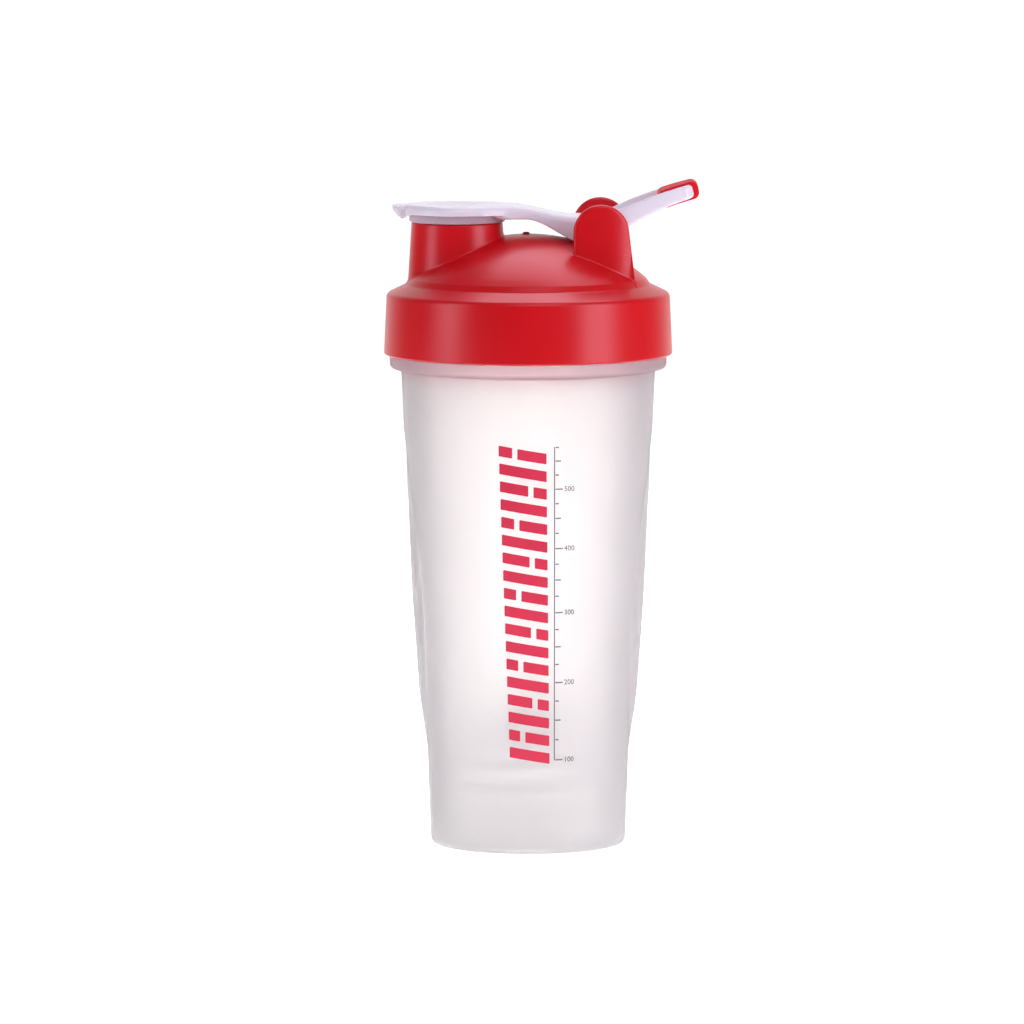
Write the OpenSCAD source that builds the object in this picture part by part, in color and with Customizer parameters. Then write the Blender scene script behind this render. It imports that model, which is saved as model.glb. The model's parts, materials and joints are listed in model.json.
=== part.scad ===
// Screw-top shaker bottle with a flip cap over its spout, a swinging carry loop and a loose wire whisk ball.
// Millimetres, +Z up. The origin is the middle of the cup's base; the spout is at -X and the hinge at +X.

/* [Cup] */
// Height of the cup's rim above the base
cup_h = 187.4; // [185:0.1:187.6]
// Outer radius of the foot
foot_r = 33.8; // [33:0.1:34.5]
// Outer radius of the body just under the collar
shoulder_r = 43.9; // [43.5:0.1:44.2]
// Wall thickness of the cup
cup_wall = 1.6; // [1.2:0.1:1.8]
// Radius of the collar that the lid's skirt comes down to
collar_r = 48; // [47:0.1:48.8]
// How far each side grip stands proud of the body
grip_proud = 1.4; // [0.6:0.1:1.6]

/* [Thread] */
// Height that the lid climbs in one turn
lead = 6; // [5.5:0.1:6.5]
// Turns of the cup's thread
cup_turns = 1.25; // [1:0.05:1.3]
// Turns of the lid's thread
lid_turns = 1; // [0.75:0.05:1]

/* [Lid] */
// Height of the skirt's lower edge
skirt_z = 170.6; // [170.5:0.1:171]
// Outer radius of the skirt's lower edge
skirt_r = 50; // [49.6:0.1:50.5]
// Radius of the dome
dome_r = 62.5; // [62:0.1:63]
// Height of the dome's top
dome_top = 212.2; // [212:0.1:212.5]
// Thickness of the lid's wall
lid_wall = 2; // [1.6:0.1:2.2]

/* [Spout and flip cap] */
// Distance of the spout's axis from the cup's axis
spout_x = -24.6; // [-26:0.1:-23.5]
// Outer radius of the spout's lip
spout_r = 15.8; // [15.5:0.1:16.2]
// Height of the spout's lip
spout_top = 216.4; // [216:0.1:216.6]
// Radius of the flip cap's disc
cap_r = 18; // [17.5:0.1:18.5]
// Height of the flip cap's top
cap_top = 222.6; // [222.4:0.1:223.2]

/* [Hinge] */
// Distance of the hinge axis from the cup's axis
hinge_x = 25.1; // [24.8:0.1:25.4]
// Height of the hinge axis
hinge_z = 214; // [213.8:0.1:214.4]
// Radius of the ears' round tops
ear_r = 9.6; // [9:0.1:10]
// Distance from one ear's outer face to the other's
ear_span = 43.2; // [42:0.2:44]
// Radius of the hinge pin
pin_r = 1.6; // [1.4:0.1:1.8]

/* [Carry loop] */
// Slope of the loop where it leaves the hinge
loop_slope = 33; // [31:1:34]
// Slope of the loop at its tip
tip_slope = 14; // [13.4:0.2:14.4]
// Radius that the loop's side bars bend to
loop_bend = 105; // [100:1:108]
// Height of the side bars where they leave the hinge
bar_h = 7; // [6.4:0.1:7.2]
// Height of the side bars at the tip
tip_h = 4.2; // [3.8:0.1:4.6]
// Thickness of the side bars
bar_t = 3.4; // [3:0.1:3.6]
// Half the loop's width at its tip; the side bars draw in to it
tip_half = 11.5; // [10.5:0.5:12.5]
// How thick the soft grip is on the crossbar
sleeve_t = 0.8; // [0.7:0.1:1]

/* [Whisk ball] */
// Radius of the ball over the outside of its wire
ball_r = 25.5; // [24:0.5:26]
// Diameter of the wire
wire_d = 2; // [1.6:0.1:2.4]
// Turns of wire from pole to pole
ball_turns = 7; // [6:1:8]

/* [Hidden] */
$fn = 96;
overlap = 0.4; // how far one shape runs into the next before they are joined
clear = 0.3; // gap left between pieces that move past each other

// Cup
floor_z = 3; // inside floor
recess_z = 1; // middle of the base stands this far off the table
foot_fillet = 1.9;
grip_low = 31.6; // the side grips start here
step_z = 138.5; // a soft step in the body, where the grips end
grip_low_r = 34.85;
step_r = 42.25;
neck_z = 163; // the body turns outwards into the neck here
collar_z = 165.6;
collar_top = skirt_z - clear;
neck_r = 45.4;
neck_in = neck_r - 1.8;
leaf_w = 12.2; // half the width of a grip, seen from the side
leaf_h = step_z - grip_low - 3;
leaf_bend = (pow(leaf_h / 2, 2) + pow(leaf_w, 2)) / (2 * leaf_w);

// Thread
ridge_h = 1.4; // height of both ridges
ridge_base = 2.6; // width of a ridge at its root
ridge_crest = 1.4; // and at its top
cup_ridge_z = 174;
ridge_drop = 2.2; // the lid's ridge runs this far under the cup's
lid_ridge_start = 36; // degrees
thread_steps = 48; // flats in one turn

// Lid
skirt_in = neck_r + ridge_h + clear + 0.1;
corner_z = 192.3;
corner_r = skirt_r - 0.9;
corner_round = 2;
crease_z = 195.1;
crease_r = 42;
dome_foot_z = 196.7;
dome_z = dome_top - dome_r; // centre of the dome's sphere
ceiling_z = 189.2; // flat that the gasket lies against
lip_in = 41.4;
lip_out = neck_in - 0.5;
lip_z = 184.5;
gasket_t = 1.5;
spout_in = spout_r - 2;
spout_foot_z = 188;
spout_foot_r = spout_r + 1.7;
nub_r = 1.75;

// Hinge stack, measured outwards from the middle
ear_t = 3.2;
ear_in = ear_span / 2 - ear_t;
bar_out = ear_in - clear;
bar_in = bar_out - bar_t;
hub_r = 4.9;
barrel = bar_in - clear;
ear_draft = 7; // slope of the ears' outer edges
running = 0.05; // clearance of a bore that turns on the pin

// Flip cap
cap_under = 217.9; // underside of the arm and the tab
disc_under = 219.4;
disc_round = 1.8;
dish_r = 11.6;
dish_sphere = 60;
arm_w = 10.5;
arm_start = -16;
arm_steps = 12;
tab_x = -47.2;
tab_w = 6.5;
plug_z = 209.5;
plug_t = 1.6;
seal_r = 16.6;

// Carry loop
bend_x = hinge_x + loop_bend * sin(loop_slope);
bend_z = hinge_z - loop_bend * cos(loop_slope);
cross_slope = 19.6; // the crossbar runs from here to the tip
swell = (bar_h - tip_h) / 2 / (sin(loop_slope) - sin(tip_slope));
bar_base = tip_h - 2 * swell * sin(tip_slope);
tip_x = bend_x - (loop_bend + tip_h / 2) * sin(tip_slope) + 1;
tip_corner = 4.5;
taper_x = hinge_x + 6; // the side bars start to draw in here
taper = atan((bar_out - tip_half) / (tip_x - taper_x));
sleeve_end = 1.1; // how far the soft grip reaches past the crossbar, in degrees of the bend
sleeve_gap = 0.15; // between the soft grip's ends and the side bars

// Whisk ball
ball_z = floor_z + 0.05 + ball_r;
pole = 16; // angle of the open poles
wire_sides = 8;
ball_steps = 28; // straight pieces in one turn

// Points of an arc from angle a to angle b in n steps
function arc(cx, cy, r, a, b, n) =
    [for (i = [0:n]) let (t = a + (b - a) * i / n) [cx + r * cos(t), cy + r * sin(t)]];
// Runs smoothly from 0 to 1 as t does
function ease(t) = t * t * (3 - 2 * t);
// Faces that join n rings of k points and close both ends. Each ring runs anticlockwise about the way ahead.
function tube_faces(n, k) = concat(
    [for (i = [0:n - 2], j = [0:k - 1]) [i * k + j, (i + 1) * k + j, (i + 1) * k + (j + 1) % k, i * k + (j + 1) % k]],
    [[for (j = [0:k - 1]) j]],
    [[for (j = [k - 1:-1:0]) (n - 1) * k + j]]
);

// A helical ridge from the root radius to the crest radius, run out to nothing over its first and last steps
module ridge(root, crest, z, start, turns) {
    n = round(turns * thread_steps);
    run_out = 6;
    outward = crest > root ? 1 : -1;
    inside = root - outward * overlap;
    function fade(i) = min(1, (i + 0.5) / run_out, (n - i + 0.5) / run_out);
    rings = [for (i = [0:n]) let (
        a = start + 360 * i / thread_steps,
        m = z + lead * i / thread_steps,
        f = fade(i),
        top = root + (crest - root) * f,
        root_half = ridge_base / 2,
        top_half = root_half - (ridge_base - ridge_crest) / 2 * f
    ) each [for (p = [[inside, root_half], [top, top_half], [top, -top_half], [inside, -root_half]])
        [p[0] * cos(a), p[0] * sin(a), m + outward * p[1]]]];
    polyhedron(rings, tube_faces(n + 1, 4));
}

// The cup's outline, filled to the axis
module cup_outline() {
    polygon(concat(
        [[0, recess_z], [29.5, recess_z], [30.5, 0]],
        arc(foot_r - foot_fillet, foot_fillet, foot_fillet, -90, 0, 6),
        [[grip_low_r, grip_low], [step_r, step_z], [shoulder_r - 0.8, step_z + 6], [shoulder_r, neck_z]],
        [[shoulder_r, collar_z - 0.6]],
        arc(collar_r - 1.5, collar_z + 1.5, 1.5, -90, 0, 5),
        [[collar_r, collar_top], [neck_r, collar_top]],
        arc(neck_r - 0.8, cup_h - 0.8, 0.8, 0, 90, 4),
        [[0, cup_h]]
    ));
}

// The space inside the cup, up past its rim
module cup_hollow() {
    w = cup_wall;
    polygon(concat(
        [[0, floor_z]],
        arc(foot_r - w - 3, floor_z + 3, 3, -90, 0, 6),
        [[grip_low_r - w, grip_low], [step_r - w, step_z], [shoulder_r - 0.8 - w, step_z + 6]],
        [[shoulder_r - w, neck_z - 1], [neck_in, neck_z + 5]],
        [[neck_in, cup_h - 0.4], [neck_in + 0.4, cup_h + 1], [0, cup_h + 1]]
    ));
}

// A side grip: a slightly fuller body, kept only inside a leaf shape
module side_grip() {
    intersection() {
        rotate([0, 0, 180]) rotate_extrude() polygon([
            [grip_low_r - 1, grip_low], [grip_low_r - 0.3, grip_low], [36.9, 46], [38, 57],
            [38.5 + grip_proud, 85], [40.9 + grip_proud / 2, 119.6], [step_r - 0.5, step_z], [step_r - 1, step_z],
        ]);
        translate([0, 0, (grip_low + step_z) / 2]) rotate([90, 0, 90]) linear_extrude(collar_r) intersection() {
            translate([leaf_bend - leaf_w, 0]) circle(leaf_bend);
            translate([leaf_w - leaf_bend, 0]) circle(leaf_bend);
        }
    }
}

module cup() {
    color([0.93, 0.91, 0.94, 0.6]) union() {
        difference() {
            union() {
                rotate([0, 0, 90]) rotate_extrude() cup_outline();
                for (side = [0, 180]) rotate([0, 0, side]) side_grip();
            }
            rotate([0, 0, 90]) rotate_extrude() cup_hollow();
        }
        ridge(neck_r, neck_r + ridge_h, cup_ridge_z, 0, cup_turns);
    }
}

// The lid's outside, filled to the axis: skirt, sloping shoulder, a short riser and the dome
module lid_outline() {
    polygon(concat(
        [[0, skirt_z]],
        arc(skirt_r - 0.8, skirt_z + 0.8, 0.8, -90, 0, 4),
        arc(corner_r - corner_round, corner_z - corner_round, corner_round, 3, 64, 5),
        [[crease_r + 0.6, crease_z - 0.4], [crease_r - 0.3, crease_z + 0.6], [crease_r - 1, dome_foot_z], [0, dome_foot_z]]
    ));
    intersection() {
        translate([0, dome_z]) circle(dome_r, $fn = 256);
        translate([0, dome_foot_z - overlap]) square([crease_r - 1, dome_top]);
    }
}

// The space inside the lid: thread bore, gasket flat, and the room under the dome behind the locating lip
module lid_hollow() {
    translate([0, skirt_z - 1]) square([skirt_in, ceiling_z - skirt_z + 1]);
    polygon([[0, ceiling_z - 1], [lip_in, ceiling_z - 1], [lip_in, 193], [39.9, 194.6], [0, 194.6]]);
    intersection() {
        translate([0, dome_z]) circle(dome_r - lid_wall, $fn = 256);
        translate([0, 194]) square([39.9, dome_top]);
    }
}

// One ear: a round-topped upright whose outer edges lean out towards the skirt
module ear_outline() {
    low = 190;
    drop = hinge_z - low;
    translate([hinge_x, hinge_z]) circle(ear_r);
    polygon([
        [hinge_x - ear_r, low], [hinge_x - ear_r, hinge_z],
        [hinge_x + ear_r * cos(ear_draft), hinge_z + ear_r * sin(ear_draft)],
        [hinge_x + ear_r / cos(ear_draft) + drop * tan(ear_draft), low],
    ]);
}

// Turns a drawing in X and Z into a plate that is t thick, centred on y
module plate(y, t) {
    translate([0, y + t / 2, 0]) rotate([90, 0, 0]) linear_extrude(t) children();
}

// A cylinder on the hinge axis
module hinge_rod(r, half) {
    translate([hinge_x, half, hinge_z]) rotate([90, 0, 0]) cylinder(h = 2 * half, r = r);
}

module lid() {
    color([0.8, 0.08, 0.13]) union() {
        difference() {
            union() {
                rotate_extrude() lid_outline();
                translate([spout_x, 0, spout_foot_z])
                    cylinder(h = spout_top - spout_foot_z, r1 = spout_foot_r, r2 = spout_r);
                for (side = [-1, 1]) plate(side * (ear_span - ear_t) / 2, ear_t) ear_outline();
                translate([-0.7, 0, dome_top - 0.5]) cylinder(h = 1.4, r1 = nub_r, r2 = 1);
            }
            rotate_extrude() lid_hollow();
            translate([spout_x, 0, spout_foot_z]) cylinder(h = 40, r = spout_in);
            hinge_rod(pin_r + 0.02, ear_in + 1.8);
        }
        // Locating lip, which drops inside the cup's rim
        rotate_extrude() translate([lip_in, lip_z]) square([lip_out - lip_in, ceiling_z + 1 - lip_z]);
        ridge(skirt_in, skirt_in - ridge_h, cup_ridge_z - ridge_drop + lead * lid_ridge_start / 360,
            lid_ridge_start, lid_turns);
    }
}

module lid_gasket() {
    color([0.92, 0.9, 0.92]) rotate_extrude()
        translate([lip_out + 0.1, ceiling_z - gasket_t]) square([skirt_in - lip_out - 0.3, gasket_t]);
}

// Side view of the arm, falling smoothly from the disc to the hinge barrel
module arm_outline() {
    function run(x, from, to) = max(0, min(1, (x - from) / (to - from)));
    top = [for (i = [0:arm_steps]) let (x = arm_start + (hinge_x - arm_start) * i / arm_steps)
        [x, cap_top - 0.2 - (cap_top - 0.2 - hinge_z - hub_r) * ease(run(x, -7, 16))]];
    under = [for (i = [arm_steps:-1:0]) let (x = arm_start + (hinge_x - arm_start) * i / arm_steps)
        [x, cap_under - (cap_under - hinge_z + hub_r) * ease(run(x, -1, 21))]];
    polygon(concat(top, under));
}

module flip_cap() {
    color([0.9, 0.89, 0.95]) difference() {
        union() {
            translate([spout_x, 0, 0]) rotate_extrude() polygon(concat(
                [[0, disc_under], [cap_r - 0.6, disc_under]],
                arc(cap_r - disc_round, cap_top - disc_round, disc_round, 0, 90, 6),
                [[0, cap_top]]
            ));
            intersection() {
                plate(0, 4 * arm_w) arm_outline();
                linear_extrude(2 * cap_top) polygon([
                    [arm_start, -arm_w - 4], [arm_start, arm_w + 4], [2, arm_w],
                    [hinge_x, arm_w], [hinge_x, -arm_w], [2, -arm_w],
                ]);
            }
            hinge_rod(hub_r, barrel);
            // Thumb tab, undercut so that a thumb can lift it
            plate(0, 2 * tab_w) polygon([
                [tab_x, cap_top - 0.1], [tab_x + 0.4, cap_top - 1.5], [tab_x + 3.4, cap_under],
                [spout_x - cap_r + 4, cap_under], [spout_x - cap_r + 4, cap_top - 0.4],
            ]);
        }
        // Finger dish in the top, a shallow piece of a sphere
        translate([spout_x, 0, cap_top + sqrt(pow(dish_sphere, 2) - pow(dish_r, 2))])
            sphere(dish_sphere, $fn = 256);
        hinge_rod(pin_r + running, barrel + 1);
        // Room for the seal's flange, and the seat for its ring
        translate([spout_x, 0, disc_under - 4]) cylinder(h = 4, r = seal_r + 0.1);
        translate([spout_x, 0, disc_under - 1]) cylinder(h = 1.6, r = spout_in - clear - plug_t / 2);
    }
}

// Soft plug: a skirt that fills the spout and a flange that lies between the lip and the cap
module cap_seal() {
    plug_r = spout_in - clear;
    color([0.9, 0.84, 0.89]) translate([spout_x, 0, 0]) rotate_extrude() polygon([
        [plug_r - plug_t, plug_z], [plug_r - 0.4, plug_z], [plug_r, plug_z + 1], [plug_r, spout_top + 0.1],
        [seal_r, spout_top + 0.1], [seal_r, disc_under], [plug_r - plug_t, disc_under],
    ]);
}

module hinge_pin() {
    color([0.75, 0.76, 0.78]) hinge_rod(pin_r, ear_in + 1.7);
}

// Side view of the loop's bar between two slopes, made higher by extra. Its outer and inner circles lie a
// little apart, so the bar gets lower on its way from the hinge to the tip.
module bend_outline(extra, from, to) {
    far = 2 * loop_bend;
    half = (bar_base + extra) / 2;
    translate([bend_x, bend_z]) intersection() {
        difference() {
            translate([-swell, 0]) circle(loop_bend + half, $fn = 256);
            translate([swell, 0]) circle(loop_bend - half, $fn = 256);
        }
        polygon([[0, 0], [-far * sin(from), far * cos(from)], [-far * sin(to), far * cos(to)]]);
    }
}

// Distance from the middle to a line that runs inset inside the loop's side, in its tapered stretch
function side_y(x, inset) = bar_out - (x - taper_x) * tan(taper) - inset / cos(taper);

// The loop's outline from above: level past the hinge, then tapering, with its two outer corners rounded
module loop_plan() {
    corner_x = tip_x - tip_corner;
    half = concat(
        arc(corner_x, side_y(corner_x, tip_corner), tip_corner, 0, 90 - taper, 6),
        [[taper_x, bar_out], [0, bar_out]]
    );
    polygon(concat(half, [for (i = [len(half) - 1:-1:0]) [half[i][0], -half[i][1]]]));
}

// The space between the side bars, from above, drawn in by a gap on both sides and run out past the tip
module loop_window(gap) {
    inset = bar_t + gap;
    half = [[0, bar_out - inset], [taper_x, bar_out - inset], [tip_x + 5, side_y(tip_x + 5, inset)]];
    polygon(concat(half, [for (i = [len(half) - 1:-1:0]) [half[i][0], -half[i][1]]]));
}

module carry_loop() {
    color([0.88, 0.88, 0.95]) difference() {
        union() {
            intersection() {
                plate(0, 2 * bar_out + 1) bend_outline(0, loop_slope, tip_slope);
                linear_extrude(2 * cap_top) difference() {
                    loop_plan();
                    loop_window(0);
                }
            }
            intersection() {
                plate(0, 2 * bar_out + 1) bend_outline(0, cross_slope, tip_slope);
                linear_extrude(2 * cap_top) loop_plan();
            }
            for (side = [-1, 1])
                plate(side * (bar_in + bar_out) / 2, bar_t) translate([hinge_x, hinge_z]) circle(hub_r);
        }
        hinge_rod(pin_r + running, ear_in);
    }
}

module loop_grip() {
    color([0.8, 0.08, 0.13]) intersection() {
        difference() {
            plate(0, 2 * bar_out) bend_outline(2 * sleeve_t, cross_slope + sleeve_end, tip_slope - sleeve_end);
            plate(0, 2 * bar_out + 2) bend_outline(0, cross_slope, tip_slope);
        }
        linear_extrude(2 * cap_top) loop_window(sleeve_gap);
    }
}

// One wire wound round a sphere from pole to pole; each ring of points is square to the wire's path
module whisk_ball() {
    n = ball_turns * ball_steps;
    r = ball_r - wire_d / 2;
    function at(i) = let (t = i / n, a = 360 * ball_turns * t, p = pole + (180 - 2 * pole) * t)
        [r * sin(p) * cos(a), r * sin(p) * sin(a), -r * cos(p)];
    function unit(v) = v / norm(v);
    rings = [for (i = [0:n]) let (
        c = at(i),
        ahead = unit(at(i + 0.5) - at(i - 0.5)),
        out = unit(c),
        side = cross(ahead, out)
    ) each [for (j = [0:wire_sides - 1]) let (q = 360 * j / wire_sides)
        c + wire_d / 2 * (cos(q) * out + sin(q) * side)]];
    color([0.78, 0.78, 0.8]) translate([0, 0, ball_z]) polyhedron(rings, tube_faces(n + 1, wire_sides));
}

cup();
lid();
lid_gasket();
flip_cap();
cap_seal();
hinge_pin();
carry_loop();
loop_grip();
whisk_ball();
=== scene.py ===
# %% [markdown]
# # A shaker bottle, piece by piece
# The bottle is a frosted cup, a red screw lid with a spout, a white flip cap, a white carry loop with a soft
# red grip and a loose wire ball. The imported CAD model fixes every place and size. What is left for this file
# is the finish of each piece: rounded edges, fillets where the lid's parts grow out of its dome, the print on
# the cup, and the plastics themselves.

# %% Load the frame
import json
import math

import bmesh
import bpy
import numpy as np
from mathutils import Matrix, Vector


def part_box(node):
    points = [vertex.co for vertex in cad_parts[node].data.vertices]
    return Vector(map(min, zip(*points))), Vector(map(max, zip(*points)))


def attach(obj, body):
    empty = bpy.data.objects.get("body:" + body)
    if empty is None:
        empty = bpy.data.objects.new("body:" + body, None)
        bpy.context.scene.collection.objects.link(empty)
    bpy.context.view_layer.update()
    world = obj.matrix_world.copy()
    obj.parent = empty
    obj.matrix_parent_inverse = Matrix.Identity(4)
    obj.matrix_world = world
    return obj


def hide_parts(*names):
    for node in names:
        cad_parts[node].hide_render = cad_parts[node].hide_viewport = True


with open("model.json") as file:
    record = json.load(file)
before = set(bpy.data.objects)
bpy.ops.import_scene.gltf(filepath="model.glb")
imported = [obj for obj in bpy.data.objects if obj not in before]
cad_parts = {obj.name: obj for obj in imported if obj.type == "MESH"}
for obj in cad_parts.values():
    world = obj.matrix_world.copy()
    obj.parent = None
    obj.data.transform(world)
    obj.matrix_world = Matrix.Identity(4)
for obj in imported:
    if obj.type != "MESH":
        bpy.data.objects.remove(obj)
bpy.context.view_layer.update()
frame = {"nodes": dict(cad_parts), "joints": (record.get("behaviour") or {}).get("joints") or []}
MM = 0.001

# %% [markdown]
# ## Sizes taken from the frame
# The main sizes come from the boxes of the CAD nodes and from the joint on the hinge axis. All lengths in the
# shape functions are millimetres; one helper turns them to metres.


# %% Read the driving sizes
def box_mm(node):
    """Lowest and highest corner of a CAD node, in millimetres, as two arrays."""
    lo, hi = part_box(node)
    return np.array(lo) / MM, np.array(hi) / MM


def joint_place(name):
    """The point that a hinge turns about, in millimetres."""
    return np.array(next(j["pos_m"] for j in frame["joints"] if j["name"] == name)) / MM


_, cup_hi = box_mm("cup")
lid_lo, lid_hi = box_mm("lid")
cap_lo, cap_hi = box_mm("flip_cap")
seal_lo, seal_hi = box_mm("cap_seal")
_, loop_hi = box_mm("carry_loop")
ball_lo, ball_hi = box_mm("whisk_ball")
_, pin_hi = box_mm("hinge_pin")
hinge_x, _, hinge_z = joint_place("cap_flip")

pin_cover, flange_sunk = 1.5, 1.5
cup_h = cup_hi[2]
collar_r = cup_hi[0]
skirt_z, skirt_r = lid_lo[2], lid_hi[0]
ear_out = pin_hi[1] + pin_cover
spout_x = (seal_lo[0] + seal_hi[0]) / 2
seal_r = (seal_hi[0] - seal_lo[0]) / 2
disc_under, cap_top, tab_x = seal_hi[2], cap_hi[2], cap_lo[0]
cap_under = disc_under - flange_sunk
bar_out = loop_hi[1]
ball_r, ball_z = (ball_hi[2] - ball_lo[2]) / 2, (ball_hi[2] + ball_lo[2]) / 2
print(f"cup {cup_h:.1f} high, skirt radius {skirt_r:.1f}, spout at {spout_x:.1f}")
print(f"hinge at {hinge_x:.1f}, {hinge_z:.1f}, ears out to {ear_out:.1f}")

# %% [markdown]
# ## Making surfaces from numbers
# A moulded product is mostly surfaces of revolution and sections carried along a path. Both are grids: row i,
# column j, one point each. The helpers below turn such a grid into quads, close it, and hand it to Blender.
# The points are computed as whole arrays, which keeps the formula readable and the script quick.


# %% Helpers for grids and meshes
def ease(t):
    """Rises smoothly from 0 to 1: 3t^2 - 2t^3, held flat outside that range."""
    t = np.clip(t, 0, 1)
    return t * t * (3 - 2 * t)


def rounded(corners, steps=6):
    """A polyline of (x, y, radius) corners with each corner replaced by an arc that touches both its sides.

    With half-angle h between the sides, the arc starts radius / tan(h) from the corner and its centre
    is radius / sin(h) away along the bisector."""
    c = np.array(corners, float)
    p, radii = c[:, :2], c[:, 2]
    out = [p[:1]]
    for before, here, after, r in zip(p[:-2], p[1:-1], p[2:], radii[1:-1]):
        a, b = before - here, after - here
        a, b = a / np.hypot(*a), b / np.hypot(*b)
        turn = math.acos(np.clip(a @ b, -1, 1))
        if r <= 0 or turn > math.pi - 1e-3:
            out.append(here[None])
            continue
        centre = here + (a + b) / np.hypot(*(a + b)) * r / math.sin(turn / 2)
        start, end = here + a * r / math.tan(turn / 2), here + b * r / math.tan(turn / 2)
        t = np.linspace(0, 1, steps + 1)[:, None]
        spokes = (start - centre) * (1 - t) + (end - centre) * t
        out.append(centre + spokes / np.hypot(*spokes.T)[:, None] * r)
    return np.vstack([*out, p[-1:]])


def densify(line, step):
    """The same line with points added so that no stretch is longer than step."""
    gaps = np.maximum(1, np.ceil(np.hypot(*np.diff(line, axis=0).T) / step).astype(int))
    at = np.concatenate([i + np.arange(n) / n for i, n in enumerate(gaps)] + [[len(gaps)]])
    index = np.arange(len(line))
    return np.stack([np.interp(at, index, line[:, 0]), np.interp(at, index, line[:, 1])], axis=1)


def revolve(profile, steps=160, centre=(0, 0)):
    """Turns a profile of (radius, z) about a vertical axis: (r cos a, r sin a, z) for a all the way round."""
    a = np.linspace(0, 2 * np.pi, steps, endpoint=False)
    r, z = profile[:, 0, None], profile[:, 1, None]
    return np.stack([centre[0] + r * np.cos(a), centre[1] + r * np.sin(a), z + 0 * a], axis=2)


def quads(grid, around=True, along=False):
    """Points and quads of a grid. around closes each row on itself, along joins the last row to the first."""
    n, m = grid.shape[:2]
    i, j = np.meshgrid(np.arange(n if along else n - 1), np.arange(m if around else m - 1), indexing="ij")
    i2, j2 = (i + 1) % n, (j + 1) % m
    faces = np.stack([i * m + j, i * m + j2, i2 * m + j2, i2 * m + j], axis=2)
    return grid.reshape(-1, 3), [faces.reshape(-1, 4)]


def capped(grid):
    """A tube's rows with its two ends closed: the middle of each end row is added as a row of one point."""
    first = np.broadcast_to(grid[:1].mean(axis=1, keepdims=True), grid[:1].shape)
    last = np.broadcast_to(grid[-1:].mean(axis=1, keepdims=True), grid[-1:].shape)
    return quads(np.concatenate([first, grid, last]))


def solid(name, *shells):
    """One mesh from closed shells, each a pair of points and face arrays: doubles merged, faces outwards."""
    starts = np.cumsum([0] + [len(points) for points, _ in shells[:-1]])
    faces = [(array + start).tolist() for (_, arrays), start in zip(shells, starts) for array in arrays]
    mesh = bpy.data.meshes.new(name)
    mesh.from_pydata((np.vstack([points for points, _ in shells]) * MM).tolist(), [], sum(faces, []))
    bm = bmesh.new()
    bm.from_mesh(mesh)
    bmesh.ops.remove_doubles(bm, verts=bm.verts, dist=2e-6)
    bmesh.ops.dissolve_degenerate(bm, edges=bm.edges, dist=1e-7)
    bmesh.ops.recalc_face_normals(bm, faces=bm.faces)
    bm.to_mesh(mesh)
    bm.free()
    return mesh


def piece(name, mesh, body, material, replaces=(), sharp=38):
    """Puts a mesh in the scene as a piece: smooth but for edges sharper than an angle, riding on a body."""
    mesh.polygons.foreach_set("use_smooth", np.ones(len(mesh.polygons), bool))
    mesh.set_sharp_from_angle(angle=math.radians(sharp))
    mesh.materials.clear()
    mesh.materials.append(material)
    obj = bpy.data.objects.new(name, mesh)
    bpy.context.scene.collection.objects.link(obj)
    bm = bmesh.new()
    bm.from_mesh(mesh)
    open_edges = sum(not e.is_manifold for e in bm.edges)
    bm.free()
    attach(obj, body)
    if replaces:
        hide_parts(*replaces)
    print(f"{name}: {len(mesh.polygons)} faces, {open_edges} open edges")
    return obj


# %% [markdown]
# ## Plastics
# Each finish is one Principled shader with its colour, roughness and bump driven by noise on Object
# coordinates. Moulded polypropylene isn't a flat colour: the melt leaves faint clouds, the tool leaves a fine
# grain, and handling polishes it in faint streaks. One function makes those three layers, and each plastic
# says how coarse its clouds and how deep its grain are.


# %% Helpers for materials
def material(name, **values):
    """A new material with one Principled shader, its plain sockets set by their names."""
    mat = bpy.data.materials.new(name)
    mat.use_nodes = True
    tree = mat.node_tree
    shader = tree.nodes["Principled BSDF"]
    for socket, value in values.items():
        shader.inputs[socket.replace("_", " ")].default_value = value
    return mat, tree, shader


def node(tree, kind, inputs=None, **settings):
    """Adds a node; inputs maps a socket's name or number to a value or to another node's output."""
    n = tree.nodes.new(kind)
    for key, value in settings.items():
        setattr(n, key, value)
    for key, value in (inputs or {}).items():
        if isinstance(value, bpy.types.NodeSocket):
            tree.links.new(value, n.inputs[key])
        else:
            n.inputs[key].default_value = value
    return n


def noise(tree, where, scale, detail=3.0, rough=0.5, stretch=None):
    """Noise on Object coordinates, scale in features per metre; stretch squeezes it along X, Y or Z."""
    if stretch:
        where = node(tree, "ShaderNodeMapping", {"Vector": where, "Scale": stretch}).outputs[0]
    inputs = {"Vector": where, "Scale": scale, "Detail": detail, "Roughness": rough}
    return node(tree, "ShaderNodeTexNoise", inputs).outputs["Fac"]


def spread(tree, value, low, high, to_low=0.0, to_high=1.0):
    """Maps value from low..high to to_low..to_high, clamped."""
    names = {"Value": value, "From Min": low, "From Max": high, "To Min": to_low, "To Max": to_high}
    return node(tree, "ShaderNodeMapRange", names).outputs["Result"]


def two_colours(tree, factor, first, second):
    """A colour between two, by factor."""
    n = node(tree, "ShaderNodeMix", data_type="RGBA")
    tree.links.new(factor, n.inputs[0])
    n.inputs[6].default_value, n.inputs[7].default_value = (*first, 1), (*second, 1)
    return n.outputs[2]


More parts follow.
